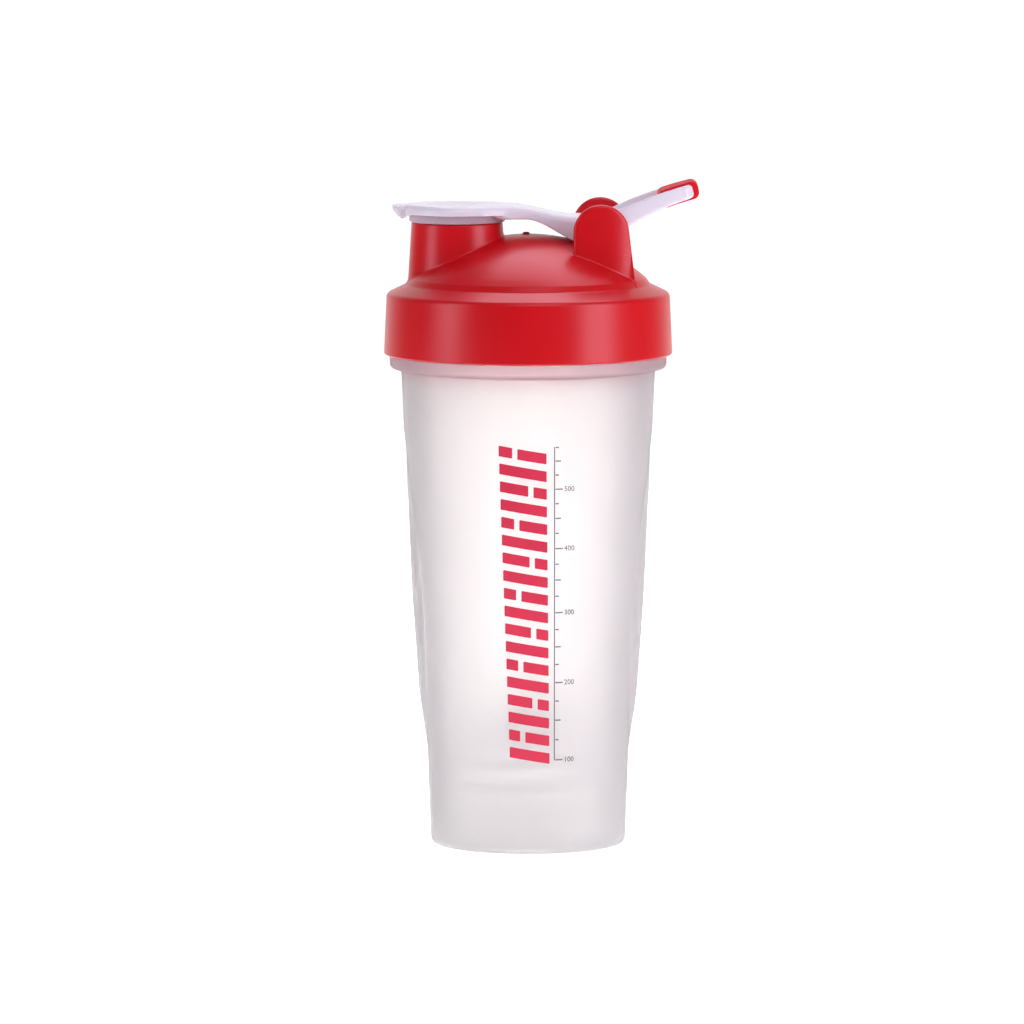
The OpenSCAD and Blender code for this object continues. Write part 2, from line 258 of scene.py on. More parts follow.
def moulded(name, light, dark, rough, grain=0.008, cloud=55.0, streak=0.03, **values):
    """Moulded plastic: clouded colour, roughness streaked by handling, the tool's grain as bump, in mm."""
    mat, tree, shader = material(name, **values)
    where = node(tree, "ShaderNodeTexCoord").outputs["Object"]
    clouds = spread(tree, noise(tree, where, cloud, 4), 0.3, 0.7)
    tree.links.new(two_colours(tree, clouds, dark, light), shader.inputs["Base Color"])
    fine = noise(tree, where, 2600, 2)
    handled = noise(tree, where, 140, 3, stretch=(1, 1, 0.4))
    streaks = spread(tree, handled, 0.25, 0.75, rough - streak, rough + streak)
    tree.links.new(streaks, shader.inputs["Roughness"])
    skin = node(tree, "ShaderNodeBump", {"Height": fine, "Strength": 0.35, "Distance": grain * MM})
    tree.links.new(skin.outputs[0], shader.inputs["Normal"])
    return mat, tree, shader


# %% The finishes
red_plastic = moulded(
    "red moulded plastic", (0.68, 0.002, 0.009), (0.64, 0.002, 0.008), 0.32,
    IOR=1.49, Specular_IOR_Level=0.5,
)[0]
red_grip = moulded(
    "red soft grip", (0.76, 0.005, 0.016), (0.70, 0.004, 0.014), 0.55, grain=0.02,
    IOR=1.40, Specular_IOR_Level=0.25,
)[0]
white_plastic = moulded(
    "white moulded plastic", (0.88, 0.89, 0.96), (0.85, 0.86, 0.94), 0.22, grain=0.004,
    IOR=1.49, Subsurface_Weight=0.25, Subsurface_Scale=0.002,
)[0]
seal_silicone = moulded(
    "seal silicone", (0.80, 0.68, 0.76), (0.72, 0.58, 0.68), 0.38, grain=0.01,
    IOR=1.41, Transmission_Weight=0.35, Subsurface_Weight=0.3, Subsurface_Scale=0.002,
)[0]
ink_red = moulded("red ink", (0.78, 0.028, 0.085), (0.70, 0.020, 0.068), 0.40, grain=0.006)[0]
ink_grey = moulded("grey ink", (0.16, 0.16, 0.17), (0.11, 0.11, 0.12), 0.45, grain=0.006)[0]
print("finishes:", [m.name for m in bpy.data.materials])

# %% [markdown]
# Drawn stainless wire is bright, with a little tarnish. A wire this thin shows no finer mark, so a cloud over
# its colour and roughness is enough, and it reads Object coordinates, so it stays on the wire.


# %% Steel
def steel():
    """Bright drawn wire: its colour and roughness are clouded by tarnish."""
    mat, tree, shader = material(
        "drawn steel", Metallic=1.0, Base_Color=(0.60, 0.60, 0.62, 1), Anisotropic=0.4, Roughness=0.25
    )
    where = node(tree, "ShaderNodeTexCoord").outputs["Object"]
    tarnish = noise(tree, where, 90, 4)
    colour = two_colours(tree, tarnish, (0.50, 0.50, 0.52), (0.68, 0.68, 0.69))
    tree.links.new(colour, shader.inputs["Base Color"])
    tree.links.new(spread(tree, tarnish, 0.3, 0.7, 0.17, 0.26), shader.inputs["Roughness"])
    return mat


drawn_steel = steel()

# %% [markdown]
# The cup is natural polypropylene with a matt tool: light goes through it but nothing behind it is sharp.
# Transmission with a high roughness gives the blur and some subsurface gives the milkiness. Two finishes go
# by height above the table: from just under the collar the wall's colour turns pink, a painted reflection of
# the red light that the lid bounces onto it, and the foot, where cups are set down and slid, is scuffed a
# little rougher.


# %% The cup's plastic
def frosted():
    """Milky see-through plastic: a painted pink reflection of the lid above pink_from, in metres, and scuffed
    below scuff_to.
    """
    pink_from, pink_full, scuff_to, scuff_rough = 0.160, 0.168, 0.004, 0.25
    mat, tree, shader = moulded(
        "frosted cup plastic", (0.995, 0.985, 0.98), (0.985, 0.97, 0.97), 0.6, grain=0.012, cloud=30.0,
        IOR=1.49, Transmission_Weight=0.85, Subsurface_Weight=0.7, Subsurface_Scale=0.01,
        Subsurface_Radius=(1.0, 0.9, 0.85),
    )
    place = node(tree, "ShaderNodeTexCoord").outputs["Object"]
    height = node(tree, "ShaderNodeSeparateXYZ", {0: place}).outputs["Z"]
    # Painted reflection: near the lid the base colour is multiplied towards pink, standing in for red light
    # bounced off the lid.
    painted_lid_bounce = spread(tree, height, pink_from, pink_full)
    tint = node(tree, "ShaderNodeMix", {0: painted_lid_bounce}, data_type="RGBA", blend_type="MULTIPLY")
    tree.links.new(shader.inputs["Base Color"].links[0].from_socket, tint.inputs[6])
    tint.inputs[7].default_value = (0.88, 0.71, 0.75, 1)
    tree.links.new(tint.outputs[2], shader.inputs["Base Color"])
    low = spread(tree, height, 0.0, scuff_to, 1.0, 0.0)
    scuffs = spread(tree, noise(tree, place, 700, 4, 0.7, stretch=(1, 1, 4)), 0.45, 0.7)
    both = node(tree, "ShaderNodeMath", {0: low, 1: scuffs}, operation="MULTIPLY").outputs[0]
    old = shader.inputs["Roughness"].links[0].from_socket
    scuffed = node(tree, "ShaderNodeMath", {0: both, 1: scuff_rough, 2: old}, operation="MULTIPLY_ADD")
    tree.links.new(scuffed.outputs[0], shader.inputs["Roughness"])
    return mat


frosted_plastic = frosted()
print("more finishes:", drawn_steel.name, "and", frosted_plastic.name)

# %% [markdown]
# ## The cup
# One closed profile is revolved: up the outside, over the rim and down the inside. The grips can't be part of
# the profile because they are only at the two sides, so the radius gets an extra term that depends on the
# angle as well as the height: a leaf shape, with a soft edge, that lifts the wall by up to 1.4 mm.

# %% The cup's profile and grips
foot_r, shoulder_r, wall = 33.8, 43.9, 1.6
grip_low, step_z, grip_low_r, step_r = 31.6, 138.5, 34.85, 42.25
collar_z, collar_top, neck_r, floor_z = 165.6, skirt_z - 0.3, 45.4, 3.0
neck_in = neck_r - 1.8

cup_outside = rounded([
    (0, 1.0, 0), (29.0, 1.0, 0.8), (30.3, 0, 0.8), (foot_r - 0.2, 0, 2.2), (foot_r + 0.1, 5, 12),
    (grip_low_r, grip_low, 60), (step_r, step_z - 2, 22), (shoulder_r - 0.75, step_z + 7, 22),
    (shoulder_r, 162.5, 30), (shoulder_r + 0.1, collar_z - 0.1, 0.9), (collar_r, collar_z + 0.35, 1.6),
    (collar_r, collar_top, 0.4), (neck_r, collar_top, 0.4), (neck_r, cup_h, 0.7), (neck_r - 0.9, cup_h, 0.5),
], 8)
cup_inside = rounded([
    (neck_r - 0.9, cup_h, 0.5), (neck_in, cup_h - 0.1, 0.6), (neck_in, collar_z + 3, 8),
    (shoulder_r - wall, 162, 12), (shoulder_r - 0.75 - wall, step_z + 7, 22), (step_r - wall, step_z - 2, 22),
    (grip_low_r - wall, grip_low, 60), (foot_r - wall, 9, 12), (foot_r - wall - 0.3, floor_z, 3.0),
    (0, floor_z, 0),
], 8)


def grip_lift(angle, z):
    """How far the grips lift the wall at an angle and height, in mm.

    proud(z) rises fast above the grip's foot, stays level and falls slowly to its top. The leaf's half-width
    is 12.4 (1 - |s|^2.2) for s from -1 at its foot to 1 at its top. A soft edge 1.6 wide joins it to the
    wall."""
    s = (z - grip_low - 1) / (step_z - grip_low - 4) * 2 - 1
    half = 12.4 * np.clip(1 - np.abs(s) ** 2.2, 0, None)
    proud = 1.42 * ease((z - grip_low) / 24) * np.clip((step_z - z) / (step_z - 88), 0, 1) ** 0.9
    from_side = np.abs((angle + np.pi / 2) % np.pi - np.pi / 2) * 39
    return proud * ease((half - from_side) / 1.6 + 0.5)


outside = densify(cup_outside, 1.6)
inside = densify(cup_inside, 4.0)
around = 264
cup_grid = revolve(np.vstack([outside, inside[1:]]), around)
angles = np.arctan2(cup_grid[..., 1], cup_grid[..., 0])
lift = grip_lift(angles, cup_grid[..., 2])
lift[len(outside):] *= 0.8
flat_r = np.maximum(np.hypot(cup_grid[..., 0], cup_grid[..., 1]), 1e-9)
cup_grid[..., :2] *= ((flat_r + lift) / flat_r)[..., None]
print(f"cup grid {cup_grid.shape[:2]}, grips lift up to {lift.max():.2f} mm")

# %% [markdown]
# The thread is a ridge carried up a helix. Its section is a small trapezium that grows out of the wall over
# the first ninth of a turn, and it is set a little into the wall so that no gap shows.


# %% A screw ridge
def helix_ridge(root, crest, z, start, turns, lead=6.0, width=(2.6, 1.4), steps=72):
    """Trapezium section carried along (r cos a, r sin a, z + lead a / 2 pi), fading out at both ends."""
    n = int(turns * steps)
    t = np.arange(n + 1)
    a = np.radians(start) + 2 * np.pi * t / steps
    fade = np.clip(np.minimum(t + 0.5, n - t + 0.5) / 8, 0, 1)
    out = np.sign(crest - root)
    top = root + (crest - root) * fade
    half = width[0] / 2 - (width[0] - width[1]) / 2 * fade
    r = np.stack([root - out * 0.4 + 0 * a, top, top, root - out * 0.4 + 0 * a], axis=1)
    h = np.stack([0 * a - width[0] / 2, -half, half, 0 * a + width[0] / 2], axis=1)
    rise = (z + lead * t / steps)[:, None]
    return capped(np.stack([r * np.cos(a)[:, None], r * np.sin(a)[:, None], h + rise], axis=2))


thread_high, thread_z = 1.4, 174
cup_mesh = solid("cup_shell", quads(cup_grid), helix_ridge(neck_r, neck_r + thread_high, thread_z, 0, 1.25))
piece("cup_shell", cup_mesh, "cup", frosted_plastic, ["cup"])

# %% [markdown]
# ## The print
# The cup carries a bold red graphic and a fine grey one. Here they are a ladder of slanted bars and a
# measuring scale. Each mark is a patch of ink that follows the cup's wall: an outline drawn flat, with x
# round the cup and z up it, then wrapped. The scale is a true one: the area inside the cup is summed up its
# height to find where each 25 ml comes.


# %% Wrapping flat outlines round the cup
def wall_radius(z):
    """Outside radius of the cup, away from the grips, at a height."""
    rising = cup_outside[(cup_outside[:, 1] > 1) & (cup_outside[:, 0] > 33)]
    order = np.argsort(rising[:, 1])
    return np.interp(z, rising[order, 1], rising[order, 0])


def wrapped(x, z, out):
    """Flat x and z to a point on the wall facing -Y: angle x / r from the front, radius r(z) + out."""
    r = wall_radius(z)
    a = x / r - np.pi / 2
    return np.stack([(r + out) * np.cos(a), (r + out) * np.sin(a), z], axis=-1)


ink_proud, ink_sunk = 0.05, 0.12


def ink_patch(outline):
    """A thin closed patch: rings grow from its middle to the outline, and shrink again under the ink."""
    middle = outline.mean(axis=0)
    spokes = outline - middle
    steps = np.array([0, 0.25, 0.5, 0.75, 1.0])
    top = [wrapped(*(middle + spokes * s).T, ink_proud) for s in steps]
    low = [wrapped(*(middle + spokes * s).T, -ink_sunk) for s in steps[::-1]]
    return quads(np.stack(top + low))


def slanted_bar(x0, x1, z, thick, lean, corner):
    """Parallelogram from x0 to x1 whose right end is lean lower than its left, corners rounded."""
    p = [(x0, z), (x1, z - lean), (x1, z - lean + thick), (x0, z + thick)]
    start = ((x0 + x1) / 2, z - lean / 2, 0)
    loop = rounded([start, *[(*q, corner) for q in (p[1], p[2], p[3], p[0])], start], 4)[:-1]
    return densify(np.vstack([loop, loop[:1]]), 2.2)[:-1]


# %% The red ladder
bars, print_low, print_high, bar_thick, bar_lean, bar_gap = 18, 31.5, 142.5, 3.7, 0.17, 0.9
bar_pitch = (print_high - print_low) / bars
breaks = [(), (0.34,), (), (0.66,)]
ladder = []
for i in range(bars):
    z = print_low + (i + 0.5) * bar_pitch
    share = (z - print_low) / (print_high - print_low)
    left, right = -6.3 - 4.1 * share, 7.4 - 1.2 * share
    ends = [0, *breaks[i % len(breaks)], 1]
    for start, end in zip(ends[:-1], ends[1:]):
        x0 = left + (right - left) * start + bar_gap * (start > 0)
        x1 = left + (right - left) * end - bar_gap * (end < 1)
        drop = bar_lean * (x0 - left)
        ladder.append(ink_patch(slanted_bar(x0, x1, z - 0.55 - drop, bar_thick, bar_lean * (x1 - x0), 0.3)))
piece("print_ladder", solid("print_ladder", *ladder), "cup", ink_red)

# %% The grey measuring scale
level = np.linspace(floor_z, cup_h - 5, 2000)
inner = inside[np.argsort(inside[:, 1])]
area = np.pi * np.interp(level, inner[:, 1], inner[:, 0]) ** 2
filled = np.concatenate([[0], np.cumsum((area[1:] + area[:-1]) / 2 * np.diff(level))]) / 1000
marks = np.arange(100, 650, 25)
heights = np.interp(marks, filled, level)
marks, heights = marks[heights < print_high], heights[heights < print_high]
scale_x, tick_thick, tick_round = 9.4, 0.4, 0.08


def tick(x0, x1, low, thick):
    """A level bar of the scale, from x0 to x1, its lower edge at a height."""
    return ink_patch(slanted_bar(x0, x1, low, thick, 0, tick_round))


ticks = []
for ml, z in zip(marks, heights):
    long = 2.6 if ml % 100 == 0 else 1.9 if ml % 50 == 0 else 1.2
    ticks.append(tick(scale_x, scale_x + long, z - tick_thick / 2, tick_thick))
stem_low, stem_long = heights[0] - tick_thick / 2, heights[-1] - heights[0] + tick_thick
ticks.append(tick(scale_x - 0.5, scale_x - 0.15, stem_low, stem_long))
print("scale marks, ml at mm:", dict(zip(marks.tolist(), heights.round(1).tolist())))


def numeral(text, x, z, size):
    """A number in Blender's plain font, made a mesh, wrapped round the wall and given the ink's thickness."""
    curve = bpy.data.curves.new("numeral", "FONT")
    curve.body, curve.size, curve.align_x, curve.align_y = text, size, "LEFT", "CENTER"
    curve.resolution_u = 3
    carrier = bpy.data.objects.new("numeral", curve)
    bpy.context.scene.collection.objects.link(carrier)
    flat = bpy.data.meshes.new_from_object(carrier.evaluated_get(bpy.context.evaluated_depsgraph_get()))
    bpy.data.objects.remove(carrier)
    bm = bmesh.new()
    bm.from_mesh(flat)
    bmesh.ops.remove_doubles(bm, verts=bm.verts, dist=1e-4)
    bmesh.ops.triangulate(bm, faces=bm.faces)
    outline = np.array([v.co[:2] for v in bm.verts]) + (x, z)
    tris = np.array([[v.index for v in f.verts] for f in bm.faces])
    rim = np.array([[v.index for v in e.verts] for e in bm.edges if e.is_boundary])
    bm.free()
    bpy.data.meshes.remove(flat)
    points = np.vstack([wrapped(*outline.T, ink_proud), wrapped(*outline.T, -ink_sunk)])
    below = len(outline)
    return points, [tris, tris[:, ::-1] + below, np.c_[rim, rim[:, ::-1] + below]]


ticks += [numeral(str(ml), scale_x + 3.1, z, 2.5) for ml, z in zip(marks, heights) if ml % 100 == 0]
piece("print_scale", solid("print_scale", *ticks), "cup", ink_grey)

# %% [markdown]
# ## The lid
# The lid's body is again one closed profile: dome, riser, sloping shoulder, skirt, thread bore, gasket seat,
# locating lip and the ceiling under the dome. The spout's bore has to go through it, and that one hole isn't
# round the profile's axis, so it is cut with a Boolean while the mesh is being made. Its edge lies inside the
# spout's wall, where no one sees it.

# %% The lid's profile
corner_r, corner_z = skirt_r - 0.95, 191.7
crease_r, crease_z, riser_r = 42.3, 194.95, 40.9
dome_r, dome_top, lid_wall = 62.5, 212.2, 2.0
skirt_in, ceiling_z = neck_r + 1.8, 189.2
lip_in, lip_out, lip_z, hollow_r = 41.4, neck_in - 0.5, 184.5, 39.9
dome_z = dome_top - dome_r


def dome(radius, r):
    """Height of a sphere of this radius, centred under the dome, at a distance r from the axis."""
    return dome_z + np.sqrt(np.maximum(radius**2 - r**2, 0))


def arc_rows(radius, r0, r1, n):
    """Points (r, z) on that sphere from r0 to r1."""
    r = np.linspace(r0, r1, n)
    return np.stack([r, dome(radius, r)], axis=1)


lid_outside = np.vstack([
    arc_rows(dome_r, 0, riser_r - 2.5, 24),
    rounded([
        (riser_r - 2.4, dome(dome_r, riser_r - 2.4), 0), (riser_r, dome(dome_r, riser_r), 1.8),
        (crease_r, crease_z, 1.8), (corner_r, corner_z, 2.2), (skirt_r, skirt_z, 0.7),
        (skirt_in, skirt_z, 0.4), (skirt_in, skirt_z + 2, 0),
    ], 7),
])
lid_inside = np.vstack([
    rounded([
        (skirt_in, skirt_z + 2.2, 0), (skirt_in, ceiling_z, 0.3), (lip_out, ceiling_z, 0.2),
        (lip_out, lip_z, 0.5), (lip_in, lip_z, 0.5), (lip_in, 193, 1), (hollow_r, 194.6, 1),
        (hollow_r, dome(dome_r - lid_wall, hollow_r) - 0.5, 0),
    ], 5),
    arc_rows(dome_r - lid_wall, hollow_r - 0.5, 0, 24),
])
lid_grid = revolve(np.vstack([lid_outside, lid_inside]), 192)


def ground(x, y):
    """Height of the lid's outside above a point: what the spout and the ears stand on."""
    r = np.hypot(x, y)
    side = lid_outside[:, 0].argmax()
    return np.interp(r, lid_outside[:side, 0], lid_outside[:side, 1])


def under(x, y):
    """Height a little inside the lid's wall, where what stands on the dome may end."""
    r = np.hypot(x, y)
    return np.where(r < hollow_r, dome(dome_r - lid_wall, r) + 0.5, 194.2)


print("ground under the spout's front, mm:", round(float(ground(spout_x - 17, 0)), 1))


# %% Cut the spout's hole
def cut(mesh, tool):
    """The mesh less the tool, by an exact Boolean, as a new mesh."""
    made = []
    for part in (mesh, tool):
        obj = bpy.data.objects.new(part.name, part)
        bpy.context.scene.collection.objects.link(obj)
        made.append(obj)
    boolean = made[0].modifiers.new("cut", "BOOLEAN")
    boolean.operation, boolean.object, boolean.solver = "DIFFERENCE", made[1], "EXACT"
    result = bpy.data.meshes.new_from_object(made[0].evaluated_get(bpy.context.evaluated_depsgraph_get()))
    for obj in made:
        bpy.data.objects.remove(obj)
    result.name = mesh.name
    return result


hole_r, hole_low, hole_high = 14.6, 190, 216
hole_profile = np.array([(0, hole_low), (hole_r, hole_low), (hole_r, hole_high), (0, hole_high)])
hole = revolve(hole_profile, 96, (spout_x, 0))
lid_mesh = cut(solid("lid_shell", quads(lid_grid)), solid("hole", quads(hole)))
print("lid shell with its hole:", len(lid_mesh.polygons), "faces")

# %% [markdown]
# Where a wall grows out of a moulded surface there is always a small radius, because a sharp inside corner
# cracks. The fillet is a strip of its own: a curve that leaves the wall upright and lands flat on the dome.
# For a wall with a closed outline in plan, each point of the outline gives one section: W, a little way up
# the wall, J, its foot, and G, on the ground a little way out. A quadratic Bezier W-J-G is the visible face.


# %% Fillets round a foot
def foot_bead(plan, out, size):
    """Concave strip round a closed plan outline with outward directions out: Bezier W, J, G closed inside."""
    foot = np.c_[plan, ground(*plan.T)]
    away = plan + out * size
    w = foot + (0, 0, size)
    g = np.c_[away, ground(*away.T) - 0.01]
    rows = [(1 - t) ** 2 * w + 2 * t * (1 - t) * foot + t**2 * g for t in np.linspace(0, 1, 9)]
    inner = np.c_[plan - out * 0.3, foot[:, 2] - 0.5]
    return quads(np.stack([*rows, inner]), along=True)


def plan_circle(x, r, n=144):
    """A circle in plan about (x, 0), and its outward directions."""
    a = np.linspace(0, 2 * np.pi, n, endpoint=False)
    out = np.stack([np.cos(a), np.sin(a)], axis=1)
    return (x, 0) + r * out, out


def plan_slab(x0, x1, y0, y1, r, steps=8):
    """A rectangle with round corners in plan, and its outward directions."""
    a = np.concatenate([np.linspace(q, q + np.pi / 2, steps + 1) for q in np.arange(4) * np.pi / 2])
    out = np.stack([np.cos(a), np.sin(a)], axis=1)
    corners = [(x1 - r, y1 - r), (x0 + r, y1 - r), (x0 + r, y0 + r), (x1 - r, y0 + r)]
    loop = np.repeat(corners, steps + 1, axis=0) + r * out
    both = densify(np.vstack([loop, loop[:1]]), 1.0)[:-1]
    near = np.abs(both[:, None] - loop[None]).sum(axis=2).argmin(axis=1)
    return both, out[near]


# %% [markdown]
# ## The spout
# A tube with a slight taper whose lower end follows the dome. The grid's columns run round it; its rows go up
# the outside, over a rounded lip and down the bore, and the last row joins the first inside the dome's wall.

# %% The spout
spout_r, spout_top, spout_in = seal_r - 0.8, seal_lo[2] + 6.9, seal_r - 2.8
spout_draft = 1.7 / 27.9


def spout_radius(z):
    """Outside radius: the tube widens evenly towards its foot."""
    return spout_r + (spout_top - z) * spout_draft


def spout_grid(n=144, lip=0.6):
    """Rows of (radius, height): outside, lip, bore. The lowest heights follow the inside of the dome."""
    a = np.linspace(0, 2 * np.pi, n, endpoint=False)
    low_out = under(spout_x + 17.2 * np.cos(a), 17.2 * np.sin(a))
    low_in = under(spout_x + spout_in * np.cos(a), spout_in * np.sin(a))
    turn = np.linspace(0, np.pi / 2, 6)[:, None]
    outer_z = low_out + (spout_top - lip - low_out) * np.linspace(0, 1, 16)[:, None]
    lip_z1, lip_r1 = spout_top - lip + lip * np.sin(turn), spout_r - lip + lip * np.cos(turn)
    lip_z2, lip_r2 = spout_top - lip + lip * np.cos(turn), spout_in + lip - lip * np.sin(turn)
    inner_z = spout_top - lip + (low_in - spout_top + lip) * np.linspace(0, 1, 10)[1:, None]
    z = np.vstack([outer_z, lip_z1[1:] + 0 * a, lip_z2 + 0 * a, inner_z])
    r = np.vstack([spout_radius(outer_z), lip_r1[1:] + 0 * a, lip_r2 + 0 * a, 0 * inner_z + spout_in])
    return np.stack([spout_x + r * np.cos(a), r * np.sin(a), z], axis=2)


foot_plan, foot_out = plan_circle(spout_x, 16.7)
for _ in range(6):
    foot_plan = (spout_x, 0) + foot_out * spout_radius(ground(*foot_plan.T))[:, None]
spout_foot = foot_bead(foot_plan, foot_out, 1.1)

# %% [markdown]
# ## The hinge ears
# Each ear is a plate with a round top about the hinge, one upright edge and one that leans 7 degrees. All
# three are tangent to the same circle, so shrinking the outline towards the hinge insets it evenly, which
# gives the rounded edges for free. The plate is a polar grid about the hinge, with the pin's blind bore at
# the middle of its inner face, and its lower end stops inside the lid's wall. Away from the spout its outer
# face curves back, so the ear is thinner there.

# %% An ear
ear_r, ear_t, ear_draft, ear_edge, pin_bore, bore_deep = 9.6, 3.2, math.radians(7), 1.1, 1.62, 1.8
ear_flat_to, ear_curve, ear_thin = 24.9, 21.5, 2.7


def curved_back(x):
    """How far the ear's outer face falls back from its plane past where it starts to curve."""
    past = np.clip(x - ear_flat_to, 0, ear_curve)
    return np.minimum(ear_curve - np.sqrt(ear_curve**2 - past**2), ear_thin)


def ear_grid(side, n=240):
    """Ear on one side (-1 or 1). Outline in polar form about the hinge: ear_r / cos of the angle to the
    tangent point below it, ear_r above, and never past where the ray from the hinge meets the wall of the
    lid, which 24 halvings of the distance find. The outer face then falls back by curved_back."""
    a = np.linspace(0, 2 * np.pi, n, endpoint=False)
    right = (a - ear_draft + np.pi) % (2 * np.pi) - np.pi
    left = np.pi - a
    lean = np.where((a > 1.5 * np.pi) | (a < ear_draft), right, np.where(a > np.pi, left, 0))
    outline = ear_r / np.maximum(np.cos(lean), 0.05)
    turn = np.linspace(0, np.pi / 2, 7)
    half = ear_t / 2
    face = np.linspace(0, 1, 8)[1:-1]
    face_in, face_out = [(-half, f, 0) for f in face], [(half, f, 0) for f in face[::-1]]
    edge_in = [(-half + ear_edge * (1 - math.cos(t)), 1, ear_edge * (1 - math.sin(t))) for t in turn]
    edge_out = [(-y, f, inset) for y, f, inset in edge_in[::-1]]
    rows = [(-half + bore_deep, 0, 0), (-half, 0, 0), *face_in, *edge_in, *edge_out, *face_out]
    y_rel, share, inset = np.array(rows).T[:, :, None]
    y = ear_out - half + y_rel
    reach = outline * (1 - inset / ear_r)
    reach = np.where(share < 1, pin_bore + (outline * (1 - ear_edge / ear_r) - pin_bore) * share, reach)
    low, high = np.zeros_like(reach), np.full_like(reach, 40.0)
    for _ in range(24):
        mid = (low + high) / 2
        above = hinge_z + mid * np.sin(a) > under(hinge_x + mid * np.cos(a), y + 0 * mid) + 0.2
        low, high = np.where(above, mid, low), np.where(above, high, mid)
    reach = np.minimum(reach, low)
    x, z = hinge_x + reach * np.cos(a), hinge_z + reach * np.sin(a)
    return np.stack([x, side * (y - curved_back(x) * (y_rel + half) / ear_t), z], axis=2)


ear_foot_x = hinge_x + ear_r / math.cos(ear_draft) + (hinge_z - 194.5) * math.tan(ear_draft)
ears = []
for side in (-1, 1):
    ears.append(capped(ear_grid(side)))
    foot, foot_way = plan_slab(hinge_x - ear_r, ear_foot_x, ear_out - ear_t, ear_out, ear_edge)
    foot[:, 1] -= curved_back(foot[:, 0]) * (foot[:, 1] - ear_out + ear_t) / ear_t
    ears.append(foot_bead(foot * (1, side), foot_way * (1, side), 0.9))

# %% The lid, put together
nub_r, nub_x = 1.35, -0.7
nub = revolve(rounded([
    (0, dome_top + 0.7, 0), (0.95, dome_top + 0.7, 0.4), (nub_r, dome_top + 0.1, 0.5),
    (nub_r + 1.0, dome_top - 0.05, 0.3), (nub_r + 0.6, dome_top - 0.9, 0), (0, dome_top - 0.9, 0),
]), 32, (nub_x, 0))
lid_thread = helix_ridge(skirt_in, skirt_in - thread_high, thread_z - 1.6, 36, 1.0)
spout_mesh = solid("lid_spout", quads(spout_grid(), along=True), spout_foot)
piece("lid_shell", lid_mesh, "lid", red_plastic, ["lid"], sharp=30)
piece("lid_spout", spout_mesh, "lid", red_plastic, ["lid"])
piece("lid_ears", solid("lid_ears", *ears), "lid", red_plastic, ["lid"])
piece("lid_details", solid("lid_details", quads(nub), lid_thread), "lid", red_plastic, ["lid"])

# %% [markdown]
# ## The flip cap
# Seen from above it is a thumb tab, a disc and an arm that run into each other; seen from the side it is a
# slab that falls to the hinge. Both views are simple functions of x, so the cap is one section carried along
# x: a rectangle with round edges, as wide as the plan says and as high as the side view says. A soft maximum
# of the three widths (the fifth root of the sum of fifth powers) rounds the inside corners between them. A
# shallow dish is then pressed into the disc, and the underside is raised to seat the seal's flange.


# %% Sections with round edges
def slab_section(flat=18, corner=6):
    """A unit section: for each point, its place across the flat (-1 to 1), its corner offsets and its side.

    Columns are flat share, sideways corner unit, upright corner unit, and 1 on top or 0 below."""
    t = np.linspace(0, np.pi / 2, corner + 1)
    across = np.linspace(-1, 1, flat + 1)[1:-1]
    top = np.c_[across, 0 * across, 0 * across + 1, 0 * across + 1]
    right_top = np.c_[0 * t + 1, np.sin(t), np.cos(t), 0 * t + 1]
    right_low = np.c_[0 * t + 1, np.cos(t), np.sin(t), 0 * t]
    low = np.c_[across[::-1], 0 * across, 0 * across + 1, 0 * across]
    left_low = np.c_[0 * t - 1, -np.sin(t), np.cos(t), 0 * t]
    left_top = np.c_[0 * t - 1, -np.cos(t), np.sin(t), 0 * t + 1]
    return np.vstack([top, right_top, right_low, low, left_low, left_top])


def slab(half, top, bottom, edge_top, edge_low, flat=18, corner=6):
    """Sideways and upright places of a slab's section: arrays of stations by section points."""
    share, side, up, is_top = slab_section(flat, corner).T
    half, top, bottom = (np.asarray(v, float)[:, None] for v in (half, top, bottom))
    room = np.minimum(half * 0.98, (top - bottom) * 0.49)
    edge = np.where(is_top > 0, np.minimum(edge_top, room), np.minimum(edge_low, room))
    across = share * (half - edge) + side * edge
    upright = np.where(is_top > 0, top - edge + up * edge, bottom + edge - up * edge)
    return across, upright


# %% The flip cap's two views
disc_r, tab_half, arm_half, hub_r, dish_r, dish_sphere = 18.0, 6.5, 10.5, 4.9, 11.6, 60.0
pin_clear, barrel_half = 1.65, 14.4


def cap_half_width(x):
    """Soft maximum of the tab, the disc and the arm, the arm widening into the disc."""
    tip = np.clip((tab_x + 3.2 - x) / 3.2, 0, 1)
    tab = np.where(x < spout_x, tab_half * (1 - tip**2.6) ** (1 / 2.6), 0)
    disc = np.sqrt(np.maximum(disc_r**2 - (x - spout_x) ** 2, 0))
    arm = (arm_half + 3 * (1 - ease((x + 14) / 16))) * ease((x - spout_x) / 9)
    return (tab**5 + disc**5 + arm**5) ** 0.2


def cap_side(x):
    """Top and underside of the cap along x, before the dish and the seat of the seal: level over the disc,
    then falling by ease to the barrel, with the tab a little lower on top and thin at its tip."""
    top = cap_top - 0.1 * ease((x + 12) / 5) - (cap_top - 0.1 - hinge_z - hub_r) * ease((x + 7) / 23)
    top = top - 0.3 * (1 - ease((x - tab_x) / 4))
    low = cap_under - (cap_under - hinge_z + hub_r) * ease((x + 1) / 22)
    low = low + 3.3 * (1 - np.clip((x - tab_x) / 3.4, 0, 1)) ** 1.2
    return top, low


